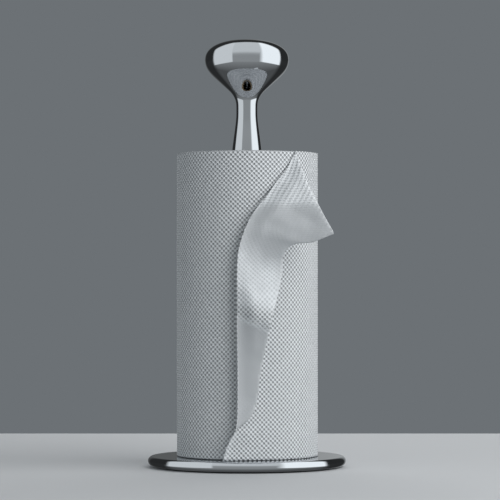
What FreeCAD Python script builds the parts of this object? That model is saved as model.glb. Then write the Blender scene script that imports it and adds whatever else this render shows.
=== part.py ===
import FreeCAD, Part
import math
import os
import re
import Sketcher

# Paper towel holder, in millimetres. +Z is up, the origin is the middle of the
# underside of the base pad. The post and the roll stand on the Z axis, and -Y is the
# front, where the last sheet of the roll is turned over.

doc = FreeCAD.newDocument("PaperTowelHolder")
Vector = FreeCAD.Vector
UP = Vector(0, 0, 1)

DIMENSIONS = [
    ("total_height", 350, "counter to the top of the knob"),
    # base
    ("base_diameter", 162, "over the rounded rim"),
    ("base_top", 8.9, "counter to the polished top"),
    ("shell_wall", 1.0, "sheet thickness of the base cover"),
    ("rim_round", 3.8, "outer round of the rim, above and below"),
    ("lip_diameter", 150.4, "inner edge of the lip that is curled under"),
    ("pad_thickness", 1.2, "foam rubber pad"),
    ("pad_diameter", 149.6, "foam rubber pad"),
    ("weight_gap", 0.15, "around the weight, inside the shell"),
    ("bolt_gap", 0.2, "around a bolt in a plain hole"),
    ("stud_diameter", 10, "M10"),
    ("stud_flange_diameter", 26, "flange of the stud, sunk into the weight"),
    ("stud_flange_thickness", 2, "flange of the stud"),
    ("stud_top", 28, "counter to the end of the stud"),
    ("lock_washer_diameter", 18, "under the collar"),
    ("lock_washer_thickness", 0.8, "under the collar"),
    ("collar_diameter", 24, "flange of the collar, which centres the post"),
    ("collar_flange", 3, "height of the flange"),
    ("collar_hexagon", 19, "across flats"),
    ("collar_hexagon_height", 2.5, "above the flange"),
    # post
    ("running_gap", 0.05, "radial, in a thread or under a face that turns"),
    ("centring_gap", 0.08, "radial, between collar and foot insert"),
    ("washer_gap", 0.3, "radial, between collar and foot washer"),
    ("foot_washer_diameter", 31, "nylon ring under the post"),
    ("foot_washer_thickness", 1.1, "nylon ring under the post"),
    ("post_diameter", 32, "straight tube inside the roll"),
    ("post_wall", 1.0, "tube and stem"),
    ("insert_length", 35, "threaded plug in the foot of the post"),
    ("insert_recess", 6.1, "depth of its recess over the collar"),
    ("insert_thread_depth", 25.1, "depth of its M10 thread, from the same face"),
    ("tie_diameter", 5, "M5"),
    ("tie_head_diameter", 8.5, "socket head"),
    ("tie_head_height", 5, "socket head"),
    ("tie_key", 4, "hexagon socket across flats"),
    ("tie_key_depth", 2.5, "hexagon socket"),
    ("tie_washer_thickness", 0.8, "under the head"),
    ("tie_washer_diameter", 9, "under the head"),
    ("tie_top", 304, "counter to the end of the tie bolt"),
    ("stem_bottom", 200, "counter to the joint of tube and stem"),
    ("stem_straight_top", 215, "where the stem starts to narrow"),
    ("coupler_length", 24, "half of it in the tube, half in the stem"),
    ("coupler_wall", 2.9, "ring between tube and stem"),
    ("flare_diameter", 23.8, "stem where it leaves the roll"),
    ("flare_level", 261, "counter to that place"),
    ("flare_slope", 0.117, "radius lost per millimetre of height there"),
    ("neck_diameter", 17.4, "narrowest place"),
    ("neck_bottom", 288, "counter to the lower end of the neck"),
    ("neck_joint", 292, "counter to the weld between stem and knob"),
    ("neck_top", 296, "counter to the upper end of the neck"),
    # knob
    ("boss_length", 26, "threaded boss in the neck"),
    ("boss_bottom", 286, "counter to its lower face"),
    ("boss_thread_depth", 22, "blind M5 thread"),
    ("cone_foot_diameter", 29.4, "lower end of the straight cone"),
    ("cone_foot_level", 308.2, "counter to that place"),
    ("cone_head_diameter", 48, "upper end of the straight cone"),
    ("cone_head_level", 316.6, "counter to that place"),
    ("knob_diameter", 68.9, "widest place"),
    ("knob_level", 333.2, "counter to the widest place"),
    ("knob_wall", 1.0, "spun knob"),
    ("dome_power", 2.3, "2 is an ellipse, more is fuller"),
    # roll
    ("roll_lift", 0.3, "between base and paper"),
    ("roll_height", 247, "width of the paper"),
    ("roll_diameter", 115.5, "over the last sheet"),
    ("roll_edge", 0.6, "worn round of the paper's ends"),
    ("core_diameter", 43, "cardboard tube, outside"),
    ("core_wall", 1.0, "cardboard tube"),
    ("core_recess", 0.8, "cardboard tube, set back from the paper's ends"),
    # last sheet, as heights above the roll's foot and places across its front
    ("sheet_thickness", 0.4, "embossed paper, slightly thickened"),
    ("sheet_gap", 0.08, "between the sheet and the turn under it"),
    ("sheet_turn", 200, "degrees, from the front round the right to the perforation"),
    ("flap_thickness", 0.8, "turned-over part, thickened"),
    ("flap_root", 0.8, "where the turned-over part leaves the sheet, as a share of its free run"),
    ("tip_height", 180, "corner that stands out at the right"),
    ("tip_side", 69.5, "how far to the right of the axis"),
    ("tip_front", 72, "how far in front of the axis"),
]

sheet = doc.addObject("Spreadsheet::Sheet", "Dims")
for row, (alias, value, note) in enumerate(DIMENSIONS, start=1):
    sheet.set(f"A{row}", note)
    sheet.set(f"B{row}", str(value))
    sheet.setAlias(f"B{row}", alias)
doc.recompute()

ALIAS = re.compile(r"[a-z]+_[a-z_]+")


def size(formula):
    """Value of a formula of sheet aliases."""
    return float(sheet.evalExpression(formula))


def bind(thing, path, formula):
    """Tie a property to a formula of sheet aliases."""
    thing.setExpression(path, ALIAS.sub(lambda word: "Dims." + word.group(), formula))


def new_body(name):
    body = doc.addObject("PartDesign::Body", name)
    body.Label = name
    return body


def new_sketch(body, name, role, height="0"):
    """Sketch on an origin plane of the body, raised along the plane's normal."""
    sketch = body.newObject("Sketcher::SketchObject", name)
    plane = [item for item in body.Origin.OriginFeatures if item.Role == role][0]
    sketch.AttachmentSupport = [(plane, "")]
    sketch.MapMode = "FlatFace"
    if height != "0":
        bind(sketch, "AttachmentOffset.Base.z", height)
    return sketch


def pin(sketch, kind, index, formula, name):
    """Hold the start point of a line at a distance from the sketch's origin."""
    axis = -2 if kind == "DistanceX" else -1
    if formula == "0":
        sketch.addConstraint(Sketcher.Constraint("PointOnObject", index, 1, axis))
        return
    number = sketch.addConstraint(Sketcher.Constraint(kind, -1, 1, index, 1, size(formula)))
    sketch.renameConstraint(number, name)
    bind(sketch, "Constraints." + name, formula)


def lathe(name, outline):
    """Body turned about Z from a closed outline of (radius, height) formulas."""
    body = new_body(name)
    sketch = new_sketch(body, name + "_outline", "XZ_Plane")
    points = [Vector(size(radius), size(height), 0) for radius, height in outline]
    for start, end in zip(points, points[1:] + points[:1]):
        sketch.addGeometry(Part.LineSegment(start, end))
    for index in range(len(points)):
        following = (index + 1) % len(points)
        sketch.addConstraint(Sketcher.Constraint("Coincident", index, 2, following, 1))
    for index, (radius, height) in enumerate(outline):
        pin(sketch, "DistanceX", index, radius, f"radius_{index}")
        pin(sketch, "DistanceY", index, height, f"height_{index}")
    turned = body.newObject("PartDesign::Revolution", name + "_turned")
    turned.Profile = sketch
    turned.ReferenceAxis = (sketch, ["V_Axis"])
    turned.Angle = 360
    sketch.Visibility = False
    doc.recompute()
    return body


def ring(name, outer, inner, bottom, length):
    """Tube, ring or disc: a padded sketch of one or two circles."""
    body = new_body(name)
    sketch = new_sketch(body, name + "_circles", "XY_Plane")
    for index, diameter in enumerate([outer] if inner == "0" else [outer, inner]):
        sketch.addGeometry(Part.Circle(Vector(), UP, size(diameter) / 2))
        sketch.addConstraint(Sketcher.Constraint("Coincident", index, 3, -1, 1))
        number = sketch.addConstraint(Sketcher.Constraint("Diameter", index, size(diameter)))
        sketch.renameConstraint(number, f"diameter_{index}")
        bind(sketch, f"Constraints.diameter_{index}", diameter)
    pad = body.newObject("PartDesign::Pad", name + "_pad")
    pad.Profile = sketch
    bind(pad, "Length", length)
    bind(body, "Placement.Base.z", bottom)
    sketch.Visibility = False
    doc.recompute()
    return body


def hexagon(body, name, flats, height):
    """Sketch of a hexagon about the Z axis, with flats facing +X and -X."""
    sketch = new_sketch(body, name, "XY_Plane", height)
    reach = size(flats) / math.sqrt(3)
    corners = []
    for side in range(6):
        angle = math.radians(60 * side + 30)
        corners.append(Vector(reach * math.cos(angle), reach * math.sin(angle), 0))
    for start, end in zip(corners, corners[1:] + corners[:1]):
        sketch.addGeometry(Part.LineSegment(start, end))
    circle = sketch.addGeometry(Part.Circle(Vector(), UP, reach), True)
    sketch.addConstraint(Sketcher.Constraint("Coincident", circle, 3, -1, 1))
    for side in range(6):
        sketch.addConstraint(Sketcher.Constraint("Coincident", side, 2, (side + 1) % 6, 1))
        sketch.addConstraint(Sketcher.Constraint("PointOnObject", side, 1, circle))
        if side:
            sketch.addConstraint(Sketcher.Constraint("Equal", 0, side))
    sketch.addConstraint(Sketcher.Constraint("Vertical", 5))
    number = sketch.addConstraint(Sketcher.Constraint("Radius", circle, reach))
    sketch.renameConstraint(number, "corner_radius")
    bind(sketch, "Constraints.corner_radius", f"{flats} / sqrt(3)")
    sketch.Visibility = False
    doc.recompute()
    return sketch


def circles_at(shape, radius, height):
    """Names of the circular edges of a given radius at a given height."""
    names = []
    for number, edge in enumerate(shape.Edges, start=1):
        curve = edge.Curve
        if not isinstance(curve, Part.Circle):
            continue
        if abs(curve.Radius - radius) < 1e-3 and abs(curve.Center.z - height) < 1e-3:
            names.append(f"Edge{number}")
    return names


def soften(body, kind, radius, edges):
    """Fillet or chamfer the circular edges given as (diameter, height) formulas."""
    base = body.Tip
    names = []
    for diameter, height in edges:
        local_height = size(height) - body.Placement.Base.z
        names += circles_at(base.Shape, size(diameter) / 2, local_height)
    feature = body.newObject("PartDesign::" + kind, f"{body.Name}_{kind.lower()}_{len(body.Group)}")
    feature.Base = (base, names)
    bind(feature, "Radius" if kind == "Fillet" else "Size", radius)
    doc.recompute()
    return body


def shaped(name, shape):
    """Sub-part whose shape is made from curves below."""
    feature = doc.addObject("Part::Feature", name)
    feature.Label = name
    feature.Shape = shape
    feature.Placement = FreeCAD.Placement(Vector(), FreeCAD.Rotation())
    return feature


# ---- base ----------------------------------------------------------------------------

def make_base_shell():
    """Spun cover: flat top with a hole for the stud, half-round rim, lip curled under."""
    rim = "base_diameter / 2"
    inside = rim + " - shell_wall"
    lip = "lip_diameter / 2"
    hole = "stud_diameter / 2 + bolt_gap"
    low = "pad_thickness"
    under_top = "base_top - shell_wall"
    body = lathe("base_shell", [
        (hole, "base_top"), (rim, "base_top"), (rim, low), (lip, low),
        (lip, low + " + shell_wall"), (inside, low + " + shell_wall"),
        (inside, under_top), (hole, under_top)])
    soften(body, "Fillet", "rim_round", [("base_diameter", "base_top"), ("base_diameter", low)])
    inner = "base_diameter - 2 * shell_wall"
    return soften(body, "Fillet", "rim_round - shell_wall",
                  [(inner, under_top), (inner, low + " + shell_wall")])


def make_base_weight():
    """Cast disc that fills the shell, stepped down inside the lip, sunk for the stud."""
    rim = "base_diameter / 2 - shell_wall - weight_gap"
    step = "lip_diameter / 2 - weight_gap"
    recess = "stud_flange_diameter / 2 + bolt_gap"
    hole = "stud_diameter / 2 + bolt_gap"
    low = "pad_thickness"
    ledge = low + " + shell_wall + weight_gap"
    top = "base_top - shell_wall"
    recess_top = low + " + stud_flange_thickness"
    body = lathe("base_weight", [
        (hole, top), (rim, top), (rim, ledge), (step, ledge), (step, low),
        (recess, low), (recess, recess_top), (hole, recess_top)])
    edge = "base_diameter - 2 * shell_wall - 2 * weight_gap"
    return soften(body, "Fillet", "rim_round - shell_wall - weight_gap", [(edge, top), (edge, ledge)])


def make_centre_stud():
    """M10 stud with a thin flange; the thread is a plain cylinder."""
    flange = "stud_flange_diameter / 2"
    shank = "stud_diameter / 2"
    low = "pad_thickness"
    shoulder = low + " + stud_flange_thickness"
    body = lathe("centre_stud", [
        ("0", low), (flange, low), (flange, shoulder), (shank, shoulder),
        (shank, "stud_top"), ("0", "stud_top")])
    return soften(body, "Chamfer", "stud_diameter / 10", [("stud_diameter", "stud_top")])


def make_lock_washer():
    return ring("lock_washer", "lock_washer_diameter", "stud_diameter + 2 * running_gap",
                "base_top", "lock_washer_thickness")


def make_centre_collar():
    """Flanged nut: a round flange that centres the post, a hexagon above it, a bore."""
    bottom = "base_top + lock_washer_thickness"
    body = ring("centre_collar", "collar_diameter", "0", bottom, "collar_flange")
    head = body.newObject("PartDesign::Pad", "centre_collar_hexagon")
    head.Profile = hexagon(body, "centre_collar_flats", "collar_hexagon", "collar_flange")
    bind(head, "Length", "collar_hexagon_height")
    doc.recompute()
    circle = new_sketch(body, "centre_collar_bore_circle", "XY_Plane")
    circle.addGeometry(Part.Circle(Vector(), UP, size("stud_diameter / 2")))
    circle.addConstraint(Sketcher.Constraint("Coincident", 0, 3, -1, 1))
    circle.addConstraint(Sketcher.Constraint("Radius", 0, size("stud_diameter / 2")))
    circle.renameConstraint(1, "bore_radius")
    bind(circle, "Constraints.bore_radius", "stud_diameter / 2 + running_gap")
    bore = body.newObject("PartDesign::Pocket", "centre_collar_bore")
    bore.Profile = circle
    bore.Type = "ThroughAll"
    bore.Reversed = True
    circle.Visibility = False
    doc.recompute()
    return soften(body, "Chamfer", "collar_flange / 8", [("collar_diameter", bottom)])


def make_non_slip_pad():
    body = ring("non_slip_pad", "pad_diameter", "0", "0 * pad_thickness", "pad_thickness")
    return soften(body, "Fillet", "pad_thickness / 4", [("pad_diameter", "0 * pad_thickness")])


# ---- post ----------------------------------------------------------------------------

WASHER_BOTTOM = "base_top + running_gap"
FOOT = WASHER_BOTTOM + " + foot_washer_thickness + running_gap"
TIE_LEDGE = FOOT + " + insert_thread_depth"
TIE_SHOULDER = TIE_LEDGE + " - tie_washer_thickness"


def make_foot_washer():
    return ring("foot_washer", "foot_washer_diameter", "collar_diameter + 2 * washer_gap",
                WASHER_BOTTOM, "foot_washer_thickness")


def make_post_tube():
    return ring("post_tube", "post_diameter", "post_diameter - 2 * post_wall",
                FOOT, f"stem_bottom - ({FOOT})")


def make_foot_insert():
    """Plug with a recess over the collar, the M10 thread, and a hole for the tie bolt."""
    outside = "post_diameter / 2 - post_wall - running_gap"
    recess = "collar_diameter / 2 + centring_gap"
    thread = "stud_diameter / 2 + running_gap"
    hole = "tie_diameter / 2 + bolt_gap"
    top = FOOT + " + insert_length"
    recess_top = FOOT + " + insert_recess"
    return lathe("foot_insert", [
        (recess, FOOT), (outside, FOOT), (outside, top), (hole, top), (hole, TIE_LEDGE),
        (thread, TIE_LEDGE), (thread, recess_top), (recess, recess_top)])


def make_tie_bolt():
    """Long M5 bolt, head down, with a hexagon socket."""
    head = "tie_head_diameter / 2"
    shank = "tie_diameter / 2"
    low = TIE_SHOULDER + " - tie_head_height"
    body = lathe("tie_bolt", [
        ("0", low), (head, low), (head, TIE_SHOULDER), (shank, TIE_SHOULDER),
        (shank, "tie_top"), ("0", "tie_top")])
    solid_volume = body.Shape.Volume
    socket = body.newObject("PartDesign::Pocket", "tie_bolt_socket")
    socket.Profile = hexagon(body, "tie_bolt_flats", "tie_key", low)
    socket.Reversed = True
    bind(socket, "Length", "tie_key_depth")
    doc.recompute()
    assert body.Shape.Volume < solid_volume
    return body


def make_tie_bolt_washer():
    return ring("tie_bolt_washer", "tie_washer_diameter", "tie_diameter + 2 * running_gap",
                TIE_SHOULDER, "tie_washer_thickness")


def make_post_coupler():
    outer = "post_diameter - 2 * post_wall - 2 * running_gap"
    bottom = "stem_bottom - coupler_length / 2"
    body = ring("post_coupler", outer, outer + " - 2 * coupler_wall", bottom, "coupler_length")
    return soften(body, "Chamfer", "coupler_wall / 4",
                  [(outer, bottom), (outer, bottom + " + coupler_length")])


def make_knob_boss():
    """Threaded boss that fills the neck and joins the stem to the knob."""
    outside = "neck_diameter / 2 - post_wall - running_gap"
    thread = "tie_diameter / 2 + running_gap"
    top = "boss_bottom + boss_length"
    thread_top = "boss_bottom + boss_thread_depth"
    return lathe("knob_boss", [
        (thread, "boss_bottom"), (outside, "boss_bottom"), (outside, top),
        ("0", top), ("0", thread_top), (thread, thread_top)])


# ---- polished stem and knob: curves in the XZ plane, from the foot upwards -----------

def bezier(*poles):
    curve = Part.BezierCurve()
    curve.setPoles([Vector(radius, 0, height) for radius, height in poles])
    return curve


def straight(start, end):
    return Part.LineSegment(Vector(start[0], 0, start[1]), Vector(end[0], 0, end[1]))


def inner_curve(curve, wall, samples=12):
    """The same curve, moved towards the inside by the wall."""
    first, last = curve.FirstParameter, curve.LastParameter
    points = []
    for step in range(samples + 1):
        place = first + (last - first) * step / samples
        along = curve.tangent(place)[0].normalize()
        points.append(curve.value(place) + Vector(-along.z, 0, along.x) * wall)
    if len(points) == 2 or isinstance(curve, Part.LineSegment):
        return Part.LineSegment(points[0], points[-1])
    spline = Part.BSplineCurve()
    spline.interpolate(points)
    return spline


def spun(curves, wall):
    """Solid of revolution with a constant wall inside a chain of curves."""
    outer = [curve.toShape() for curve in curves]
    inner_curves = [inner_curve(curve, wall) for curve in curves]
    inner = [curve.toShape() for curve in inner_curves]
    foot = Part.makeLine(curves[0].StartPoint, inner_curves[0].StartPoint)
    head = Part.makeLine(curves[-1].EndPoint, inner_curves[-1].EndPoint)
    outline = Part.Wire(Part.__sortEdges__(outer + inner + [foot, head]))
    return Part.Face(outline).revolve(Vector(), UP, 360)


def make_stem_sleeve():
    """Straight foot, a long flare, and the neck up to its weld."""
    post, flare, neck = size("post_diameter / 2"), size("flare_diameter / 2"), size("neck_diameter / 2")
    slope, level = size("flare_slope"), size("flare_level")
    low, start = size("stem_bottom"), size("stem_straight_top")
    neck_low, joint = size("neck_bottom"), size("neck_joint")
    swell = (level - start) * 0.35
    taper = (neck_low - level) * 0.35
    return shaped("stem_sleeve", spun([
        straight((post, low), (post, start)),
        bezier((post, start), (post, start + swell), (flare + slope * swell, level - swell),
               (flare, level)),
        bezier((flare, level), (flare - slope * taper, level + taper),
               (neck, neck_low - taper / 2), (neck, neck_low)),
        straight((neck, neck_low), (neck, joint)),
    ], size("post_wall")))


def make_knob_cup():
    """Neck, hollow curve, straight cone, and a round shoulder up to the widest line."""
    neck, joint, neck_top = size("neck_diameter / 2"), size("neck_joint"), size("neck_top")
    foot, foot_level = size("cone_foot_diameter / 2"), size("cone_foot_level")
    head, head_level = size("cone_head_diameter / 2"), size("cone_head_level")
    widest, level = size("knob_diameter / 2"), size("knob_level")
    slope = (head - foot) / (head_level - foot_level)
    hollow = (foot_level - neck_top) * 0.25
    shoulder = (level - head_level) * 0.3
    return shaped("knob_cup", spun([
        straight((neck, joint), (neck, neck_top)),
        bezier((neck, neck_top), (neck, neck_top + 1.6 * hollow),
               (foot - slope * hollow, foot_level - hollow), (foot, foot_level)),
        straight((foot, foot_level), (head, head_level)),
        bezier((head, head_level), (head + slope * shoulder, head_level + shoulder),
               (widest, level - 1.5 * shoulder), (widest, level)),
    ], size("knob_wall")))


def make_knob_dome():
    """Flattened dome: a superellipse from the widest line to the crown."""
    widest, level = size("knob_diameter / 2"), size("knob_level")
    rise = size("total_height") - level
    power = 2 / size("dome_power")
    points = []
    steps = 16
    for step in range(steps + 1):
        angle = math.radians(90 * step / steps)
        across = widest * abs(math.cos(angle)) ** power
        points.append(Vector(across, 0, level + rise * math.sin(angle) ** power))
    points[-1].x = 0
    dome = Part.BSplineCurve()
    dome.interpolate(points)
    return shaped("knob_dome", spun([dome], size("knob_wall")))


# ---- roll ----------------------------------------------------------------------------

ROLL_FOOT = "base_top + roll_lift"
PAPER_DIAMETER = "roll_diameter - 2 * sheet_thickness"


def make_roll_core():
    return ring("roll_core", "core_diameter", "core_diameter - 2 * core_wall",
                ROLL_FOOT + " + core_recess", "roll_height - 2 * core_recess")


def make_paper_roll():
    body = ring("paper_roll", PAPER_DIAMETER, "core_diameter", ROLL_FOOT, "roll_height")
    return soften(body, "Fillet", "roll_edge",
                  [(PAPER_DIAMETER, ROLL_FOOT), (PAPER_DIAMETER, ROLL_FOOT + " + roll_height")])


# Where the last sheet folds over, and where its turned-over part ends: height above the
# roll's foot, place of the fold across the front, degrees before the fold where the sheet
# leaves the roll, place of the free edge across the front, and how far the free edge
# stands in front of the axis.
FLAP = [
    (0, -19, 32, -15.5, 66.2),
    (24, -9.5, 30, -4, 66.8),
    (62, -8, 30, 9.8, 67.8),
    (110, -8.5, 29, 19.5, 70.5),
    (126, -8.5, 29, 23, 72),
    (158, -8, 28, 28.5, 64.5),
    (size("tip_height"), -3.6, 28, size("tip_side"), size("tip_front")),
    (203, 9.2, 22, 57, 71.5),
    (222, 23, 14, 48, 61),
    (size("roll_height"), 38.8, 5, 42, 46.5),
]


def around(radius, angle, height):
    """Point at an angle from the front, positive towards the right."""
    return Vector(radius * math.sin(angle), -radius * math.cos(angle), height)


def sheet_section(up, across, ahead, edge, front):
    """Level outline of the last sheet: its turn round the roll and the part turned over."""
    inside = size(f"({PAPER_DIAMETER}) / 2 + sheet_gap")
    outside = inside + size("sheet_thickness")
    height = size(ROLL_FOOT) + up
    lead = math.radians(ahead)
    leaves = math.asin(across * math.cos(lead) / inside) + lead
    end = math.radians(size("sheet_turn"))
    facets = 30
    step = (end - leaves) / facets
    # the facets' middles, not their corners, touch the roll
    clear = 1 / math.cos(step / 2)
    inner = [around(inside * clear, end - step * place, height) for place in range(facets + 1)]
    outer = [around(outside * clear, leaves + step * place, height) for place in range(facets + 1)]
    # from where it leaves the roll, the sheet runs on straight to the fold
    run = Vector(-math.cos(leaves), -math.sin(leaves), 0) * (inside * clear * math.tan(lead))
    outward = around(1, leaves, 0)
    thick = size("flap_thickness")
    fold_inside = inner[-1] + run
    fold_outside = fold_inside + outward * (size("sheet_thickness") + thick)
    near_fold = outer[0] + run * size("flap_root")
    edge_inside = Vector(edge, -front, height)
    edge_outside = edge_inside + Vector(0, -thick, 0)
    outline = inner + [fold_inside, fold_outside, edge_outside, edge_inside, near_fold] + outer
    return Part.makePolygon(outline + outline[:1])


def between(low, high, share):
    return [start + (end - start) * share for start, end in zip(low, high)]


def make_loose_sheet():
    """Last sheet of the roll, from its perforation at the back to the turned-over corner."""
    steps = 5
    levels = [between(low, high, step / steps) for low, high in zip(FLAP, FLAP[1:])
              for step in range(steps)]
    sections = [sheet_section(*level) for level in levels + [FLAP[-1]]]
    return shaped("loose_sheet", Part.makeLoft(sections, True, True))


parts = [
    make_base_shell(), make_base_weight(), make_non_slip_pad(), make_centre_stud(),
    make_lock_washer(), make_centre_collar(),
    make_foot_washer(),
    make_post_tube(), make_foot_insert(), make_tie_bolt(), make_tie_bolt_washer(),
    make_post_coupler(), make_stem_sleeve(), make_knob_boss(), make_knob_cup(), make_knob_dome(),
    make_roll_core(), make_paper_roll(), make_loose_sheet(),
]

doc.recompute()
for item in doc.Objects:
    if "Invalid" in item.State or "Error" in item.State:
        raise SystemExit(f"{item.Label} failed: {item.State}")
for item in parts:
    if item.Shape.isNull() or not item.Shape.isValid():
        raise SystemExit(f"{item.Label} has no valid shape")

os.makedirs("parts", exist_ok=True)
for item in parts:
    item.Shape.exportStep(f"parts/{item.Label}.step")
    box = item.Shape.optimalBoundingBox()
    print(f"{item.Label:16} solids {len(item.Shape.Solids)}  volume {item.Shape.Volume:10.1f}  "
          f"x {box.XMin:7.2f} {box.XMax:7.2f}  y {box.YMin:7.2f} {box.YMax:7.2f}  "
          f"z {box.ZMin:7.2f} {box.ZMax:7.2f}")
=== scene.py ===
import math

import bmesh
import bpy
import numpy as np
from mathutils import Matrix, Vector, noise


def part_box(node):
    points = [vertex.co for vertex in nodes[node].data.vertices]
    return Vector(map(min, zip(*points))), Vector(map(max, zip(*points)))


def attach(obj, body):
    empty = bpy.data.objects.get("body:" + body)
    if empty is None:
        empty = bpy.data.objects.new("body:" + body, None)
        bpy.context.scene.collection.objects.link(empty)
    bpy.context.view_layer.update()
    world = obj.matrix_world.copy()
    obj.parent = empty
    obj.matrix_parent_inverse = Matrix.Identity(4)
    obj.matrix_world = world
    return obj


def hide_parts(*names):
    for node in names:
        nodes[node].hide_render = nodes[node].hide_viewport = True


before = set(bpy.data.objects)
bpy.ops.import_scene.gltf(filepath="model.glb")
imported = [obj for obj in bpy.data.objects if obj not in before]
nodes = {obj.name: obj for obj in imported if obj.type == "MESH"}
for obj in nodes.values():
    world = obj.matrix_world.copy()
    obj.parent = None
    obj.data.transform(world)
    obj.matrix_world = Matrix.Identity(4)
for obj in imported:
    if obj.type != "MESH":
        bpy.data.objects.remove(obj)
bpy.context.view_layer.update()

# Paper towel holder in metres, standing on z = 0. Dictionaries are in millimetres.
mm = 0.001


def radiusOf(node):
    low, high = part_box(node)
    return (high[0] - low[0]) / 2


def toLinear(hexColour):
    channels = [int(hexColour[i:i + 2], 16) / 255 for i in (1, 3, 5)]
    return tuple(c / 12.92 if c <= 0.04045 else ((c + 0.055) / 1.055) ** 2.4 for c in channels) + (1.0,)


def addNode(tree, kind, settings=None, links=None):
    node = tree.nodes.new(kind)
    for key, value in (settings or {}).items():
        if isinstance(key, int) or key in node.inputs:
            node.inputs[key].default_value = value
        else:
            setattr(node, key, value)
    for key, source in (links or {}).items():
        tree.links.new(source, node.inputs[key])
    return node


def newMaterial(name, settings):
    material = bpy.data.materials.new(name)
    material.use_nodes = True
    tree = material.node_tree
    tree.nodes.clear()
    surface = addNode(tree, "ShaderNodeBsdfPrincipled", settings)
    addNode(tree, "ShaderNodeOutputMaterial", links={"Surface": surface.outputs[0]})
    return material, tree, surface


def objectFrom(name, mesh, material, smooth=True):
    piece = bpy.data.objects.new(name, mesh)
    bpy.context.scene.collection.objects.link(piece)
    mesh.materials.append(material)
    mesh.polygons.foreach_set("use_smooth", [smooth] * len(mesh.polygons))
    return piece


def bezierPoints(start, leave, arrive, end, steps):
    points = []
    for step in range(1, steps + 1):
        t = step / steps
        weights = ((1 - t) ** 3, 3 * t * (1 - t) ** 2, 3 * t * t * (1 - t), t ** 3)
        corners = (start, leave, arrive, end)
        points.append(tuple(sum(w * c[axis] for w, c in zip(weights, corners)) for axis in (0, 1)))
    return points


def linePoints(start, end, steps):
    return [tuple(s + (e - s) * step / steps for s, e in zip(start, end)) for step in range(1, steps + 1)]


def smoothThrough(points, at):
    # Catmull-Rom curve through (place, value) pairs, read at one place
    places = [p[0] for p in points]
    values = [p[1] for p in points]
    if at <= places[0]:
        return values[0]
    if at >= places[-1]:
        return values[-1]
    i = max(k for k in range(len(places) - 1) if places[k] <= at)
    slopes = []
    for k in (i, i + 1):
        low, high = max(k - 1, 0), min(k + 1, len(places) - 1)
        slopes.append((values[high] - values[low]) / (places[high] - places[low]))
    width = places[i + 1] - places[i]
    t = (at - places[i]) / width
    return ((2 * t ** 3 - 3 * t * t + 1) * values[i] + (t ** 3 - 2 * t * t + t) * width * slopes[0]
            + (3 * t * t - 2 * t ** 3) * values[i + 1] + (t ** 3 - t * t) * width * slopes[1])


def outwardNormals(points):
    # across an outline that climbs or runs towards the axis with the metal on its left
    normals = []
    for k in range(len(points)):
        before, after = points[max(k - 1, 0)], points[min(k + 1, len(points) - 1)]
        along = (after[0] - before[0], after[1] - before[1])
        length = math.hypot(*along)
        normals.append((along[1] / length, -along[0] / length))
    return normals


def spunShell(name, outline, normals, wall, material, segments=160):
    # a turned sheet-metal shell: outer outline, the same moved in by the wall, joined at both ends
    inner = [(p[0] - n[0] * wall, p[1] - n[1] * wall) for p, n in zip(outline, normals)]
    rings = [(p, n, 1) for p, n in zip(outline, normals)]
    rings += [(p, n, -1) for p, n in zip(reversed(inner), reversed(normals))]
    builder = bmesh.new()
    facing = builder.verts.layers.float_vector.new("facing")
    grid = []
    for (radius, height), (out, up), side in rings:
        row = []
        for step in range(segments):
            turn = 2 * math.pi * step / segments
            vert = builder.verts.new((max(radius, 0) * mm * math.cos(turn),
                                      max(radius, 0) * mm * math.sin(turn), height * mm))
            vert[facing] = Vector((out * math.cos(turn), out * math.sin(turn), up)) * side
            row.append(vert)
        grid.append(row)
    for ring in range(len(grid)):
        low, high = grid[ring], grid[(ring + 1) % len(grid)]
        for step in range(segments):
            after = (step + 1) % segments
            builder.faces.new((low[step], low[after], high[after], high[step]))
    bmesh.ops.remove_doubles(builder, verts=builder.verts, dist=1e-7)
    mesh = bpy.data.meshes.new(name)
    builder.to_mesh(mesh)
    builder.free()
    piece = objectFrom(name, mesh, material)
    given = np.zeros(len(mesh.vertices) * 3, np.float32)
    mesh.attributes["facing"].data.foreach_get("vector", given)
    mesh.normals_split_custom_set_from_vertices(given.reshape(-1, 3).tolist())
    mesh.attributes.remove(mesh.attributes["facing"])
    return piece


def polishedStainless():
    # 18/8 stainless buffed to a mirror: sharp reflections, with faint wiping haze
    material, tree, surface = newMaterial("polishedStainless", {
        "Base Color": toLinear("#D3D6DA"), "Metallic": 1.0})
    place = addNode(tree, "ShaderNodeTexCoord")
    haze = addNode(tree, "ShaderNodeTexNoise", {"Scale": 1 / (22 * mm), "Detail": 4.0},
                   {"Vector": place.outputs["Object"]})
    spread = addNode(tree, "ShaderNodeMapRange", {"To Min": 0.03, "To Max": 0.075},
                     {"Value": haze.outputs[0]})
    tree.links.new(spread.outputs[0], surface.inputs["Roughness"])
    return material


def brushedTube():
    # drawn stainless tube, brushed round: fine lines across its length
    material, tree, surface = newMaterial("brushedStainlessTube", {
        "Base Color": toLinear("#B9BCBF"), "Metallic": 1.0})
    place = addNode(tree, "ShaderNodeTexCoord")
    stretch = addNode(tree, "ShaderNodeMapping", {"Scale": (20.0, 20.0, 1 / (0.35 * mm))},
                      {"Vector": place.outputs["Object"]})
    lines = addNode(tree, "ShaderNodeTexNoise", {"Scale": 1.0, "Detail": 3.0},
                    {"Vector": stretch.outputs[0]})
    spread = addNode(tree, "ShaderNodeMapRange", {"To Min": 0.22, "To Max": 0.42},
                     {"Value": lines.outputs[0]})
    tree.links.new(spread.outputs[0], surface.inputs["Roughness"])
    bump = addNode(tree, "ShaderNodeBump", {"Strength": 0.15, "Distance": 0.05 * mm},
                   {"Height": lines.outputs[0]})
    tree.links.new(bump.outputs[0], surface.inputs["Normal"])
    return material


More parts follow.
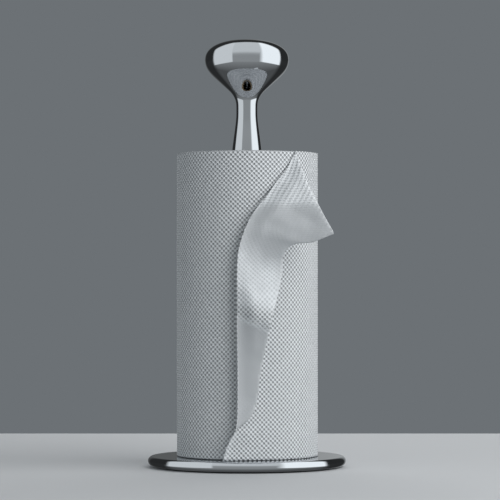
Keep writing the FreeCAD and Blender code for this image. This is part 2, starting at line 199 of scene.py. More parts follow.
def turnedSteel():
    # free-cutting steel off the lathe: rings of tool marks
    material, tree, surface = newMaterial("turnedSteel", {
        "Base Color": toLinear("#A9ABAD"), "Metallic": 1.0, "Roughness": 0.3})
    place = addNode(tree, "ShaderNodeTexCoord")
    rings = addNode(tree, "ShaderNodeTexWave", {
        "wave_type": "RINGS", "rings_direction": "Z", "Scale": 1 / (0.4 * mm) / 20,
        "Distortion": 0.6, "Detail": 2.0}, {"Vector": place.outputs["Object"]})
    bump = addNode(tree, "ShaderNodeBump", {"Strength": 0.25, "Distance": 0.04 * mm},
                   {"Height": rings.outputs["Fac"]})
    tree.links.new(bump.outputs[0], surface.inputs["Normal"])
    return material


def zincPlated():
    # bright zinc plate: bluish grey with cloudy patches
    material, tree, surface = newMaterial("zincPlatedSteel", {"Metallic": 1.0})
    place = addNode(tree, "ShaderNodeTexCoord")
    cloud = addNode(tree, "ShaderNodeTexNoise", {"Scale": 1 / (6 * mm), "Detail": 5.0},
                    {"Vector": place.outputs["Object"]})
    tint = addNode(tree, "ShaderNodeValToRGB", links={"Fac": cloud.outputs[0]})
    tint.color_ramp.elements[0].color = toLinear("#A6A9AB")
    tint.color_ramp.elements[1].color = toLinear("#C9CCC4")
    tree.links.new(tint.outputs[0], surface.inputs["Base Color"])
    spread = addNode(tree, "ShaderNodeMapRange", {"To Min": 0.28, "To Max": 0.45},
                     {"Value": cloud.outputs[0]})
    tree.links.new(spread.outputs[0], surface.inputs["Roughness"])
    return material


def sandCastIron():
    # grey iron from a sand mould: dark, pitted, dull
    material, tree, surface = newMaterial("sandCastIron", {"Metallic": 0.6, "Roughness": 0.7})
    place = addNode(tree, "ShaderNodeTexCoord")
    grit = addNode(tree, "ShaderNodeTexNoise", {"Scale": 1 / (0.9 * mm), "Detail": 6.0},
                   {"Vector": place.outputs["Object"]})
    tint = addNode(tree, "ShaderNodeValToRGB", links={"Fac": grit.outputs[0]})
    tint.color_ramp.elements[0].color = toLinear("#2B2C2E")
    tint.color_ramp.elements[1].color = toLinear("#55565A")
    tree.links.new(tint.outputs[0], surface.inputs["Base Color"])
    bump = addNode(tree, "ShaderNodeBump", {"Strength": 0.6, "Distance": 0.2 * mm},
                   {"Height": grit.outputs[0]})
    tree.links.new(bump.outputs[0], surface.inputs["Normal"])
    return material


def mouldedNylon():
    # natural nylon: milky, faintly warm, satin from the mould
    material, tree, surface = newMaterial("mouldedNylon", {
        "Base Color": toLinear("#E4E0D2"), "IOR": 1.53})
    place = addNode(tree, "ShaderNodeTexCoord")
    grain = addNode(tree, "ShaderNodeTexNoise", {"Scale": 1 / (0.5 * mm), "Detail": 3.0},
                    {"Vector": place.outputs["Object"]})
    spread = addNode(tree, "ShaderNodeMapRange", {"To Min": 0.38, "To Max": 0.52},
                     {"Value": grain.outputs[0]})
    tree.links.new(spread.outputs[0], surface.inputs["Roughness"])
    return material


def cellularFoam():
    # black closed-cell foam rubber, skived: tiny open cells, very dull
    material, tree, surface = newMaterial("cellularFoamRubber", {"Roughness": 0.92, "IOR": 1.5})
    place = addNode(tree, "ShaderNodeTexCoord")
    cells = addNode(tree, "ShaderNodeTexVoronoi", {"Scale": 1 / (0.7 * mm)},
                    {"Vector": place.outputs["Object"]})
    tint = addNode(tree, "ShaderNodeValToRGB", links={"Fac": cells.outputs["Distance"]})
    tint.color_ramp.elements[0].color = toLinear("#131415")
    tint.color_ramp.elements[1].color = toLinear("#2A2B2D")
    tree.links.new(tint.outputs[0], surface.inputs["Base Color"])
    bump = addNode(tree, "ShaderNodeBump", {"Strength": 0.5, "Distance": 0.15 * mm},
                   {"Height": cells.outputs["Distance"]})
    tree.links.new(bump.outputs[0], surface.inputs["Normal"])
    return material


emboss = {
    "cell": 1.88,           # half the distance between two dots of one row
    "depth": 0.11,          # of the pressed dots, each way
    "bump": 1.0,            # depth of the pits between those points
    "shade": 0.56,          # how much painted shade darkens a pit against the paper round it
}


def embossedTowel():
    # two-ply tissue pressed between steel rolls: rows of small pits, soft fibres, no gloss
    material, tree, surface = newMaterial("embossedTowel", {
        "Roughness": 0.95, "IOR": 1.45, "Sheen Weight": 0.1, "Sheen Roughness": 0.6})
    place = addNode(tree, "ShaderNodeUVMap", {"uv_map": "flat"})
    # how much of the pressing is left: less on the reverse, least where handling smoothed it
    left = addNode(tree, "ShaderNodeAttribute", {"attribute_name": "pressed"})
    axes = addNode(tree, "ShaderNodeSeparateXYZ", links={0: place.outputs[0]})
    waves = []
    for axis in ("X", "Y"):
        # the uv layer counts embossing cells
        angle = addNode(tree, "ShaderNodeMath", {"operation": "MULTIPLY", 1: math.pi},
                        {0: axes.outputs[axis]})
        waves.append(addNode(tree, "ShaderNodeMath", {"operation": "COSINE"}, {0: angle.outputs[0]}))
    dots = addNode(tree, "ShaderNodeMath", {"operation": "MULTIPLY"},
                   {0: waves[0].outputs[0], 1: waves[1].outputs[0]})
    shape = addNode(tree, "ShaderNodeMapRange", {
        "interpolation_type": "SMOOTHSTEP", "From Min": -0.95, "From Max": 0.5},
        {"Value": dots.outputs[0]})
    fibres = addNode(tree, "ShaderNodeTexNoise", {"Scale": 3.2, "Detail": 6.0, "Roughness": 0.65},
                     {"Vector": place.outputs[0]})
    clouds = addNode(tree, "ShaderNodeTexNoise", {"Scale": 0.12, "Detail": 2.0},
                     {"Vector": place.outputs[0]})
    # painted shade in the pits, less where less pressing is left
    pit = addNode(tree, "ShaderNodeMath", {"operation": "SUBTRACT", 0: 1.0}, {1: shape.outputs[0]})
    pitPaintedShade = addNode(tree, "ShaderNodeMath", {"operation": "MULTIPLY"},
                     {0: pit.outputs[0], 1: left.outputs["Fac"]})
    # where the pressing is gone the paper gets an even painted shade in place of the painted shade of its
    # pits
    plain = addNode(tree, "ShaderNodeMapRange", {"From Max": 0.35, "To Min": 0.68},
                    {"Value": left.outputs["Fac"]})
    shade = addNode(tree, "ShaderNodeMath", {"operation": "MULTIPLY_ADD", 1: -emboss["shade"]},
                    {0: pitPaintedShade.outputs[0], 2: plain.outputs[0]})
    mottle = addNode(tree, "ShaderNodeMapRange", {"To Min": 0.88, "To Max": 1.07},
                     {"Value": fibres.outputs[0]})
    drift = addNode(tree, "ShaderNodeMapRange", {"To Min": 0.96, "To Max": 1.02},
                    {"Value": clouds.outputs[0]})
    product = addNode(tree, "ShaderNodeMath", {"operation": "MULTIPLY"},
                      {0: shade.outputs[0], 1: mottle.outputs[0]})
    whole = addNode(tree, "ShaderNodeMath", {"operation": "MULTIPLY"},
                    {0: product.outputs[0], 1: drift.outputs[0]})
    tint = addNode(tree, "ShaderNodeMix", {
        "data_type": "RGBA", "blend_type": "MULTIPLY", "Factor": 1.0, 6: toLinear("#EDF1F4")},
        {7: whole.outputs[0]})
    tree.links.new(tint.outputs[2], surface.inputs["Base Color"])
    raised = addNode(tree, "ShaderNodeMath", {"operation": "MULTIPLY"},
                     {0: shape.outputs[0], 1: left.outputs["Fac"]})
    height = addNode(tree, "ShaderNodeMath", {"operation": "MULTIPLY_ADD", 1: 0.2},
                     {0: fibres.outputs[0], 2: raised.outputs[0]})
    bump = addNode(tree, "ShaderNodeBump", {"Strength": 1.0, "Distance": emboss["bump"] * mm},
                   {"Height": height.outputs[0]})
    tree.links.new(bump.outputs[0], surface.inputs["Normal"])
    return material


def woundEnds():
    # the cut ends of some two hundred turns, a little uneven; the real ones are too fine to show,
    # so the rings are drawn coarser
    ringGap = 1.1 * mm
    material, tree, surface = newMaterial("woundTowelEnds", {"Roughness": 0.95, "IOR": 1.45})
    place = addNode(tree, "ShaderNodeTexCoord")
    flatten = addNode(tree, "ShaderNodeMapping", {"Scale": (1.0, 1.0, 0.0)},
                      {"Vector": place.outputs["Object"]})
    rings = addNode(tree, "ShaderNodeTexWave", {
        "wave_type": "RINGS", "rings_direction": "Z", "wave_profile": "SIN",
        "Scale": 1 / ringGap / 20, "Distortion": 2.2, "Detail": 3.0, "Detail Scale": 60.0},
        {"Vector": flatten.outputs[0]})
    # the ends are painted grey for the shade between the windings, darker still in the grooves between the
    # rings
    tint = addNode(tree, "ShaderNodeValToRGB", links={"Fac": rings.outputs["Fac"]})
    tint.color_ramp.elements[0].color = toLinear("#A9ADB0")
    tint.color_ramp.elements[1].color = toLinear("#B8BBBE")
    tree.links.new(tint.outputs[0], surface.inputs["Base Color"])
    bump = addNode(tree, "ShaderNodeBump", {"Strength": 0.8, "Distance": 0.35 * mm},
                   {"Height": rings.outputs["Fac"]})
    tree.links.new(bump.outputs[0], surface.inputs["Normal"])
    return material


def spiralBoard():
    # grey-brown board wound in a spiral strip: long fibres and a seam that climbs round
    material, tree, surface = newMaterial("spiralWoundBoard", {"Roughness": 0.9, "IOR": 1.45})
    place = addNode(tree, "ShaderNodeUVMap", {"uv_map": "flat"})
    axes = addNode(tree, "ShaderNodeSeparateXYZ", links={0: place.outputs[0]})
    # the uv layer is in millimetres; the strip is 60 mm wide and climbs at 25 degrees
    climb = addNode(tree, "ShaderNodeMath", {"operation": "MULTIPLY_ADD", 1: 0.47},
                    {0: axes.outputs["X"], 2: axes.outputs["Y"]})
    strip = addNode(tree, "ShaderNodeMath", {"operation": "PINGPONG", 1: 30.0}, {0: climb.outputs[0]})
    seam = addNode(tree, "ShaderNodeMapRange", {"From Min": 0.0, "From Max": 0.8},
                   {"Value": strip.outputs[0]})
    fibres = addNode(tree, "ShaderNodeTexNoise", {"Scale": 0.8, "Detail": 6.0, "Roughness": 0.7},
                     {"Vector": place.outputs[0]})
    tint = addNode(tree, "ShaderNodeValToRGB", links={"Fac": fibres.outputs[0]})
    tint.color_ramp.elements[0].color = toLinear("#7C6850")
    tint.color_ramp.elements[1].color = toLinear("#AD9A7E")
    dark = addNode(tree, "ShaderNodeMix", {
        "data_type": "RGBA", "blend_type": "MIX", 6: toLinear("#4A3D2E")},
        {"Factor": seam.outputs[0], 7: tint.outputs[0]})
    tree.links.new(dark.outputs[2], surface.inputs["Base Color"])
    height = addNode(tree, "ShaderNodeMath", {"operation": "MULTIPLY_ADD", 1: 0.3},
                     {0: fibres.outputs[0], 2: seam.outputs[0]})
    bump = addNode(tree, "ShaderNodeBump", {"Strength": 0.7, "Distance": 0.2 * mm},
                   {"Height": height.outputs[0]})
    tree.links.new(bump.outputs[0], surface.inputs["Normal"])
    return material


mirror = polishedStainless()
tubeSteel = brushedTube()
latheSteel = turnedSteel()
zinc = zincPlated()
iron = sandCastIron()
nylon = mouldedNylon()
foam = cellularFoam()
towel = embossedTowel()
ends = woundEnds()
board = spiralBoard()
print("materials made")


baseShell = {
    "rim": 3.8,             # round of the rim
    "wall": 1.0,            # thickness of the sheet
    "hole": 10.4,           # for the stud
    "lip": 150.4,           # inner edge of the lip curled under
    "segments": 256,
}


def makeBaseShell():
    low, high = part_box("base_shell")
    radius, bottom, top = high[0] / mm, low[2] / mm, high[2] / mm
    rim = baseShell["rim"]
    centre, middle, half = radius - rim, (bottom + top) / 2, (top - bottom) / 2
    lip = (baseShell["lip"] / 2, bottom)
    # from the lip, out under the rim, round it, and in over the flat top to the hole
    outline = [lip] + linePoints(lip, (centre, bottom), 3)
    for turn in np.linspace(-math.pi / 2, math.pi / 2, 41)[1:]:
        outline.append((centre + rim * math.cos(turn), middle + half * math.sin(turn)))
    outline += linePoints((centre, top), (baseShell["hole"] / 2, top), 14)
    normals = outwardNormals(outline)
    piece = spunShell("baseShell", outline, normals, baseShell["wall"], mirror, baseShell["segments"])
    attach(piece, "base")
    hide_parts("base_shell")


footPad = {
    "edge": 0.35,           # round of both edges
    "wave": 0.03,           # height of the waves underneath
    "waveLength": 9,
    "rings": 22,
    "segments": 144,
}


def makeFootPad():
    # soft disc: rounded edge, and the faint waves of a sheet that was skived and stuck on
    low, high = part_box("non_slip_pad")
    radius, thick = high[0], high[2] - low[2]
    edge, segments = footPad["edge"] * mm, footPad["segments"]
    outline = [(radius * share / footPad["rings"], 0.0) for share in range(footPad["rings"])]
    outline += [(radius - edge + edge * math.sin(turn), edge - edge * math.cos(turn))
                for turn in np.linspace(0, math.pi / 2, 6)]
    outline += [(radius - edge + edge * math.cos(turn), thick - edge + edge * math.sin(turn))
                for turn in np.linspace(0, math.pi / 2, 6)]
    outline += [(radius * share / footPad["rings"], thick) for share in range(footPad["rings"] - 1, -1, -1)]
    builder = bmesh.new()
    rows = []
    for out, height in outline:
        row = []
        for step in range(segments):
            turn = 2 * math.pi * step / segments
            x, y = out * math.cos(turn), out * math.sin(turn)
            wave = footPad["wave"] * mm * noise.noise(Vector((x, y, 0)) / (footPad["waveLength"] * mm))
            # only the underside waves, and never below the counter
            lift = abs(wave) if height < edge else 0
            row.append(builder.verts.new((x, y, low[2] + height + lift)))
        rows.append(row)
    for lower, upper in zip(rows, rows[1:]):
        for step in range(segments):
            after = (step + 1) % segments
            builder.faces.new((lower[step], lower[after], upper[after], upper[step]))
    bmesh.ops.remove_doubles(builder, verts=builder.verts, dist=1e-6)
    bmesh.ops.recalc_face_normals(builder, faces=builder.faces)
    mesh = bpy.data.meshes.new("footPad")
    builder.to_mesh(mesh)
    builder.free()
    piece = objectFrom("footPad", mesh, foam)
    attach(piece, "base")
    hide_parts("non_slip_pad")


makeBaseShell()
makeFootPad()
print("base made")


knob = {
    "flare": (11.9, 261),       # radius and height where the stem leaves the roll
    "flareSlope": 0.117,
    "straightTop": 215,         # the stem is straight below this
    "neck": 8.7,                # radius
    "neckHeights": (288, 296),
    "cone": ((14.7, 308.2), (24.0, 316.6)),
    "domePower": 2.3,           # 2 is an ellipse, more is fuller
    "domeSteps": 56,            # stretches of outline from the widest line to the crown
    "wall": 1.0,
    "smoothing": 12,            # rounds of smoothing along the outline
}


def knobOutline():
    # one continuous outline from the stem's foot to the crown, and where its welds are
    post = radiusOf("stem_sleeve") / mm
    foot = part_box("stem_sleeve")[0][2] / mm
    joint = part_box("stem_sleeve")[1][2] / mm
    widest, level = radiusOf("knob_dome") / mm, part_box("knob_dome")[0][2] / mm
    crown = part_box("knob_dome")[1][2] / mm
    straight, (flare, flareLevel), slope = knob["straightTop"], knob["flare"], knob["flareSlope"]
    neck, (neckLow, neckTop) = knob["neck"], knob["neckHeights"]
    coneFoot, coneHead = knob["cone"]
    swell, taper = (flareLevel - straight) * 0.35, (neckLow - flareLevel) * 0.35
    coneSlope = (coneHead[0] - coneFoot[0]) / (coneHead[1] - coneFoot[1])
    hollow, shoulder = (coneFoot[1] - neckTop) * 0.25, (level - coneHead[1]) * 0.3
    points = [(post, foot)] + linePoints((post, foot), (post, straight), 6)
    points += bezierPoints((post, straight), (post, straight + swell),
                           (flare + slope * swell, flareLevel - swell), (flare, flareLevel), 24)
    points += bezierPoints((flare, flareLevel), (flare - slope * taper, flareLevel + taper),
                           (neck, neckLow - taper / 2), (neck, neckLow), 24)
    points += linePoints((neck, neckLow), (neck, joint), 4)
    weldLow = len(points) - 1
    points += linePoints((neck, joint), (neck, neckTop), 4)
    points += bezierPoints((neck, neckTop), (neck, neckTop + 1.6 * hollow),
                           (coneFoot[0] - coneSlope * hollow, coneFoot[1] - hollow), coneFoot, 24)
    points += linePoints(coneFoot, coneHead, 10)
    points += bezierPoints(coneHead, (coneHead[0] + coneSlope * shoulder, coneHead[1] + shoulder),
                           (widest, level - 1.5 * shoulder), (widest, level), 26)
    weldHigh = len(points) - 1
    for step in range(1, knob["domeSteps"] + 1):
        turn = math.pi / 2 * step / knob["domeSteps"]
        points.append((widest * max(math.cos(turn), 0) ** (2 / knob["domePower"]),
                       level + (crown - level) * math.sin(turn) ** (2 / knob["domePower"])))
    points[-1] = (0.0, crown)
    return points, weldLow, weldHigh


def makeStemAndKnob():
    points, weldLow, weldHigh = knobOutline()
    # a light smoothing keeps the reflections flowing through the joins of the curves
    smooth = np.array(points)
    for again in range(knob["smoothing"]):
        inside = (smooth[:-2] + 2 * smooth[1:-1] + smooth[2:]) / 4
        inside[[weldLow - 1, weldHigh - 1]] = smooth[[weldLow, weldHigh]]
        smooth[1:-1] = inside
    normals = outwardNormals([tuple(p) for p in smooth])
    normals[-1] = (0.0, 1.0)
    points = [tuple(p) for p in smooth]
    stretches = (("stemSleeve", "stem_sleeve", 0, weldLow), ("knobCup", "knob_cup", weldLow, weldHigh),
                 ("knobDome", "knob_dome", weldHigh, len(points) - 1))
    for name, node, first, last in stretches:
        piece = spunShell(name, points[first:last + 1], normals[first:last + 1], knob["wall"], mirror)
        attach(piece, "post")
        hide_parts(node)


makeStemAndKnob()
print("stem and knob made")


roll = {
    "edge": 0.6,            # round of the paper's ends
    "windings": 26,         # rings of geometry across an end
    "uneven": 0.3,          # how far windings stand proud of each other
    "dents": 0.22,          # soft waves of the outside
    "dentTall": 60,         # height of one such wave
}
coreBoard = {
    "wall": 1.0,
    "gap": 0.05,            # between the board and the first turn of paper
    "rough": 0.12,          # unevenness of its cut ends
    "segments": 120,
    "levels": 60,
}
rollLow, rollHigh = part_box("paper_roll")
rollRadius = radiusOf("paper_roll") / mm
rollFoot = rollLow[2] / mm
rollTall = (rollHigh[2] - rollLow[2]) / mm
rowCount = 2 * round(rollTall / emboss["cell"] / 2)
rowStep = rollTall / rowCount
columnCount = 2 * round(2 * math.pi * rollRadius / emboss["cell"] / 2)


def makeWoundPaper():
    # the side is a net with one point per embossing cell, pressed in and out by turns
    core = radiusOf("roll_core") / mm
    builder = bmesh.new()
    flat = builder.loops.layers.uv.new("flat")
    edge = roll["edge"]
    outline = [(core, "end", 0.0)]
    span = rollRadius - edge - core
    outline += [(core + span * k / roll["windings"], "end", 0.0) for k in range(1, roll["windings"] + 1)]
    outline += [(rollRadius, "side", edge)]
    outline += [(rollRadius, "side", row * rowStep) for row in range(1, rowCount)]
    outline += [(rollRadius, "side", rollTall - edge)]
    outline += [(core + span * k / roll["windings"], "end", rollTall)
                for k in range(roll["windings"], -1, -1)]
    rows = []
    for index, (radius, kind, height) in enumerate(outline):
        row = []
        for step in range(columnCount):
            turn = 2 * math.pi * step / columnCount
            out, up = radius, height
            if kind == "side":
                level = round(height / rowStep)
                calm = 0 if level in (0, rowCount) else 1
                out += emboss["depth"] * calm * (1 if (step + level) % 2 == 0 else -1)
                place = Vector((math.cos(turn) * 1.4, math.sin(turn) * 1.4, height / roll["dentTall"]))
                out += roll["dents"] * (noise.noise(place) - 0.35)
            else:
                place = Vector((radius / 1.3, math.cos(turn) * 1.5, math.sin(turn) * 1.5 + height))
                wave = roll["uneven"] * noise.noise(place)
                up += wave if height > 0 else abs(wave)
            row.append(builder.verts.new((out * mm * math.sin(turn), -out * mm * math.cos(turn),
                                          (rollFoot + up) * mm)))
        rows.append(row)
    for index in range(len(rows)):
        lower, upper = rows[index], rows[(index + 1) % len(rows)]
        here, above = outline[index], outline[(index + 1) % len(rows)]
        for step in range(columnCount):
            after = (step + 1) % columnCount
            face = builder.faces.new((lower[step], lower[after], upper[after], upper[step]))
            onSide = here[1] == "side" and above[1] == "side"
            face.material_index = 0 if onSide else 1
            levels = (here[2] / rowStep, above[2] / rowStep)
            for loop, across, up in zip(face.loops, (step, step + 1, step + 1, step), (0, 0, 1, 1)):
                loop[flat].uv = (across, levels[up])
    bmesh.ops.recalc_face_normals(builder, faces=builder.faces)
    mesh = bpy.data.meshes.new("woundPaper")
    builder.to_mesh(mesh)
    builder.free()
    piece = objectFrom("woundPaper", mesh, towel)
    mesh.materials.append(ends)
    pressed = mesh.attributes.new("pressed", "FLOAT", "POINT")
    pressed.data.foreach_set("value", [1.0] * len(mesh.vertices))
    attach(piece, "roll")
    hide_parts("paper_roll")


def makeCoreTube():
    # board tube: two walls, and a cut edge that is a little rough
    low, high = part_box("roll_core")
    outer = radiusOf("roll_core") / mm
    inner = outer - coreBoard["wall"]
    bottom, top = low[2] / mm, high[2] / mm
    segments, levels = coreBoard["segments"], coreBoard["levels"]
    builder = bmesh.new()
    flat = builder.loops.layers.uv.new("flat")
    outline = [(outer - coreBoard["gap"], bottom + (top - bottom) * k / levels) for k in range(levels + 1)]
    outline += [((outer + inner) / 2, top)]
    outline += [(inner, top - (top - bottom) * k / levels) for k in range(levels + 1)]
    outline += [((outer + inner) / 2, bottom)]
    rows = []
    for out, height in outline:
        row = []
        for step in range(segments):
            turn = 2 * math.pi * step / segments
            rough = coreBoard["rough"] * noise.noise(Vector((math.cos(turn) * 30, math.sin(turn) * 30, out)))
            lift = rough if height in (bottom, top) else 0
            row.append(builder.verts.new((out * mm * math.sin(turn), -out * mm * math.cos(turn),
                                          (height + lift) * mm)))
        rows.append(row)
    for index in range(len(rows)):
        lower, upper = rows[index], rows[(index + 1) % len(rows)]
        heights = (outline[index][1], outline[(index + 1) % len(rows)][1])
        for step in range(segments):
            after = (step + 1) % segments
            face = builder.faces.new((lower[step], lower[after], upper[after], upper[step]))
            for loop, across, up in zip(face.loops, (step, step + 1, step + 1, step), (0, 0, 1, 1)):
                loop[flat].uv = (across * 2 * math.pi * outer / segments, heights[up])
    bmesh.ops.recalc_face_normals(builder, faces=builder.faces)
    mesh = bpy.data.meshes.new("coreTube")
    builder.to_mesh(mesh)
    builder.free()
    piece = objectFrom("coreTube", mesh, board)
    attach(piece, "roll")
    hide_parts("roll_core")


makeWoundPaper()
makeCoreTube()
print("roll made")


# Heights are above the roll's foot, places across are from the axis, seen from the front.
lastSheet = {
    "thickness": 0.25,
    "turn": 200,            # degrees from the front, round the right, to the perforation
    "looseness": 0.12,      # gap under it
    # it leaves the roll this many degrees before its fold or cut edge, and goes on straight
    "leaves": [(0, 32), (24, 30), (180, 28), (200, 22), (225, 12), (247, 5)],
    # left side: the cut edge low down, then the line it folds along
    "left": [(0, -19.3), (12, -15.5), (24, -9.5), (50, -8), (110, -8.5), (150, -8.4), (165, -7.6),
             (180, -3.6), (195, 3.2), (203, 9.2), (216, 18.8), (232, 30.6), (247, 39)],
    "flapFoot": 24,         # the fold starts here
    "cornerAt": 214,        # height of the fold that the turned-over corner is opposite
    # free edge of the turned-over part: height of the fold opposite, then across, front, height
    "edge": [(24, -9.0, 65.5, 24), (35, 3.2, 66.2, 35), (48, 8.1, 66.4, 48), (62, 9.8, 66.6, 62),
             (79, 12.7, 67, 79), (96, 16, 67.2, 96), (112, 19.5, 66.6, 112), (126, 23.5, 64, 127),
             (138, 26.5, 61, 141), (150, 28.5, 59.3, 151), (160, 28.6, 60, 159), (170, 30, 62.5, 165),
             (179, 35, 65, 170.5), (188, 42, 68, 172.3), (197, 51, 70, 172.8), (206, 60, 71.5, 176.2),
             (214, 69.3, 72, 180)],
    # line from that corner to the top of the fold bows this far towards the roll
    "topBow": 2.5,
    "foldRadius": 0.2,
    # ridges and hollows of the turned-over part: how far it stands forward at each height, and
    # how much they drop for each millimetre to the right
    "ridges": [(24, 0.2), (50, 1.1), (80, 2.3), (100, 3.8), (112, 6.4), (120, 9.2), (126, 9.8), (135, 7.8),
               (145, 4), (156, 0.6), (166, 0), (174, 1.2), (188, 7), (197, 11), (203, 12.8), (208, 12.4),
               (218, 9.6), (232, 5), (247, 0.2)],
    "drop": [(60, 0), (100, 0.5), (140, 0.5), (172, 0.15), (200, 0)],
    # how much of the embossing is left on it; where little is left the paper gets an even painted shade
    # instead of painted shade in its pits
    "pressed": [(24, 0.05), (112, 0.06), (118, 0.8), (130, 0.85), (139, 0.5), (147, 0.3), (160, 0.3),
                (170, 0.1), (190, 0.05), (200, 0.1), (207, 0.45), (247, 0.6)],
    "ridgeStart": 16,       # the ridges reach their full height this far in from the fold
    "wrinkles": ((1.1, 21), (0.35, 8)),     # height and length of two sizes of soft wrinkles
    "apexFront": 0.8,       # the top of the fold stands this far off the roll
}


def sheetEdge(height):
    # a point of the free edge, opposite the fold at this height
    corner = lastSheet["edge"][-1]
    if height > lastSheet["cornerAt"]:
        share = (height - lastSheet["cornerAt"]) / (rollTall - lastSheet["cornerAt"])
        across = lastSheet["left"][-1][1]
        front = math.sqrt(rollRadius ** 2 - across ** 2) + lastSheet["apexFront"]
        apex = (across, front, rollTall)
        place = Vector([corner[k + 1] + (apex[k] - corner[k + 1]) * share for k in range(3)])
        place.x -= lastSheet["topBow"] * 4 * share * (1 - share)
        return place
    return Vector([smoothThrough([(p[0], p[k]) for p in lastSheet["edge"]], height) for k in (1, 2, 3)])


def cubic(start, leave, arrive, end, steps):
    places = [step / steps for step in range(steps + 1)]
    return [start * (1 - t) ** 3 + leave * 3 * t * (1 - t) ** 2 + arrive * 3 * t * t * (1 - t) + end * t ** 3
            for t in places]


def spaced(points, step):
    # the same line with points a step apart, its two ends kept
    lengths = [0.0]
    for before, after in zip(points, points[1:]):
        lengths.append(lengths[-1] + (after - before).length)
    whole = lengths[-1]
    places = [k * step for k in range(1, int(whole / step) + 1) if whole - k * step > 0.35 * step]
    found = [points[0]]
    segment = 0
    for place in places:
        while lengths[segment + 1] < place:
            segment += 1
        share = (place - lengths[segment]) / (lengths[segment + 1] - lengths[segment])
        found.append(points[segment].lerp(points[segment + 1], share))
    return found + [points[-1]]


def stitch(builder, low, high):
    # faces between two rows that may differ by a few points at their far end
    faces = []
    shared = min(len(low), len(high)) - 2
    for k in range(shared):
        faces.append((low[k], low[k + 1], high[k + 1], high[k]))
    rest = low[shared:] + high[shared:][::-1]
    if len(low) == len(high):
        faces.append(tuple(rest))
    elif len(low) > len(high):
        tip = high[-1]
        chain = [high[shared]] + low[shared:]
        faces += [(tip, a, b) for a, b in zip(chain, chain[1:])]
    else:
        tip = low[-1]
        chain = high[shared:][::-1] + [low[shared]]
        faces += [(tip, a, b) for a, b in zip(chain, chain[1:])]
    for corners in faces:
        distinct = []
        for corner in corners:
            if all((corner.co - other.co).length > 1e-5 for other in distinct):
                distinct.append(corner)
        if len(distinct) > 2 and builder.faces.get(distinct) is None:
            builder.faces.new(distinct)


def makeLastSheet():
    cell = emboss["cell"]
    body = rollRadius + lastSheet["looseness"] + lastSheet["thickness"]
    perforation = math.radians(lastSheet["turn"])
    builder = bmesh.new()
    flat = builder.loops.layers.uv.new("flat")
    pressed = builder.verts.layers.float.new("pressed")
    flatPlace, press, worn = {}, {}, {}
    turnRows, flapRows = [], []
    for level in range(rowCount + 1):
        height = level * rowStep
        across = smoothThrough(lastSheet["left"], height)
        ahead = math.radians(smoothThrough(lastSheet["leaves"], height))
        # the point where it leaves, for a straight run that ends at the fold's place across
        leaves = math.asin(across * math.cos(ahead) / body) + ahead
        free = body * math.tan(ahead)
        length = (perforation - leaves) * body + free
        columns = [k * cell for k in range(int(length / cell) + 1) if length - k * cell > 0.35 * cell]
        row = []
        for k, along in enumerate(columns + [length]):
            beyond = max(along - (length - free), 0)
            angle = perforation - min(along, length - free) / body
            place = Vector((body * math.sin(angle), -body * math.cos(angle), height))
            place -= Vector((math.cos(angle), math.sin(angle), 0)) * beyond
            vert = builder.verts.new(place)
            flatPlace[vert] = (along / cell, level)
            inside = 0 < k < len(columns) and 0 < level < rowCount
            press[vert] = emboss["depth"] * (1 if (k + level) % 2 == 0 else -1) if inside else 0
            # the pressing stops a little short of the cut edge
            margin = (length - along) / cell if height < lastSheet["flapFoot"] else 3
            worn[vert] = min(0.35 + margin / 4, 1.0)
            press[vert] *= worn[vert]
            row.append(vert)
        turnRows.append(row)
        if height < lastSheet["flapFoot"]:
            continue
        start = row[-1].co.copy()
        edge = sheetEdge(height)
        end = Vector((edge[0], -edge[1], edge[2]))
        outward = Vector((math.sin(leaves), -math.cos(leaves), 0))
        run = end - start
        run -= outward * run.dot(outward)
        away = -run.normalized() if run.length > 0.5 else Vector((-1, 0, 0))
        size = min(lastSheet["foldRadius"], 0.3 * (end - start).length + 0.05)
        turned = start + outward * 2 * size
        curve = cubic(start, start + away * 1.33 * size, turned + away * 1.33 * size, turned, 12)
        lead = turned - away * (end - turned).length * 0.3
        curve += cubic(turned, lead, turned.lerp(end, 0.66), end, 40)[1:]
        row = [row[-1]]
        for k, place in enumerate(spaced(curve, cell)[1:], start=1):
            # the ridges start a little way in from the fold
            drop = smoothThrough(lastSheet["drop"], place.z)
            ridgeLevel = place.z + drop * (place.x - across)
            inward = min(k * cell / lastSheet["ridgeStart"], 1)
            ridge = smoothThrough(lastSheet["ridges"], ridgeLevel)
            wave = sum(tall * noise.noise(place / wide) for tall, wide in lastSheet["wrinkles"])
            rise = inward * inward * (3 - 2 * inward)
            vert = builder.verts.new(place - Vector((0, rise * (ridge + wave), 0)))
            # flat place: the fold's own, and on past it
            flatPlace[vert] = (length / cell + k, level)
            patchy = 0.9 + 0.4 * noise.noise(place / 11)
            worn[vert] = smoothThrough(lastSheet["pressed"], ridgeLevel) * patchy
            press[vert] = emboss["depth"] * worn[vert] * (1 if (k + level) % 2 == 0 else -1)
            row.append(vert)
        press[row[-1]] = 0
        flapRows.append(row)
    for rows in (turnRows, flapRows):
        for low, high in zip(rows, rows[1:]):
            stitch(builder, low, high)
    builder.verts.ensure_lookup_table()
    builder.normal_update()
    for vert, amount in press.items():
        vert.co += vert.normal * amount
        vert[pressed] = max(worn[vert], 0)
    for face in builder.faces:
        for loop in face.loops:
            loop[flat].uv = flatPlace[loop.vert]
    for vert in builder.verts:
        vert.co = Vector((vert.co.x, vert.co.y, vert.co.z + rollFoot)) * mm
    mesh = bpy.data.meshes.new("lastSheet")
    builder.to_mesh(mesh)
    builder.free()
    piece = objectFrom("lastSheet", mesh, towel)
    thicken = piece.modifiers.new("thickness", "SOLIDIFY")
    thicken.thickness = lastSheet["thickness"] * mm
    thicken.offset = -1
    bpy.context.view_layer.objects.active = piece
    piece.select_set(True)
    bpy.ops.object.modifier_apply(modifier="thickness")
    piece.select_set(False)
    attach(piece, "roll")
    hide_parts("loose_sheet")


makeLastSheet()
print("last sheet made")


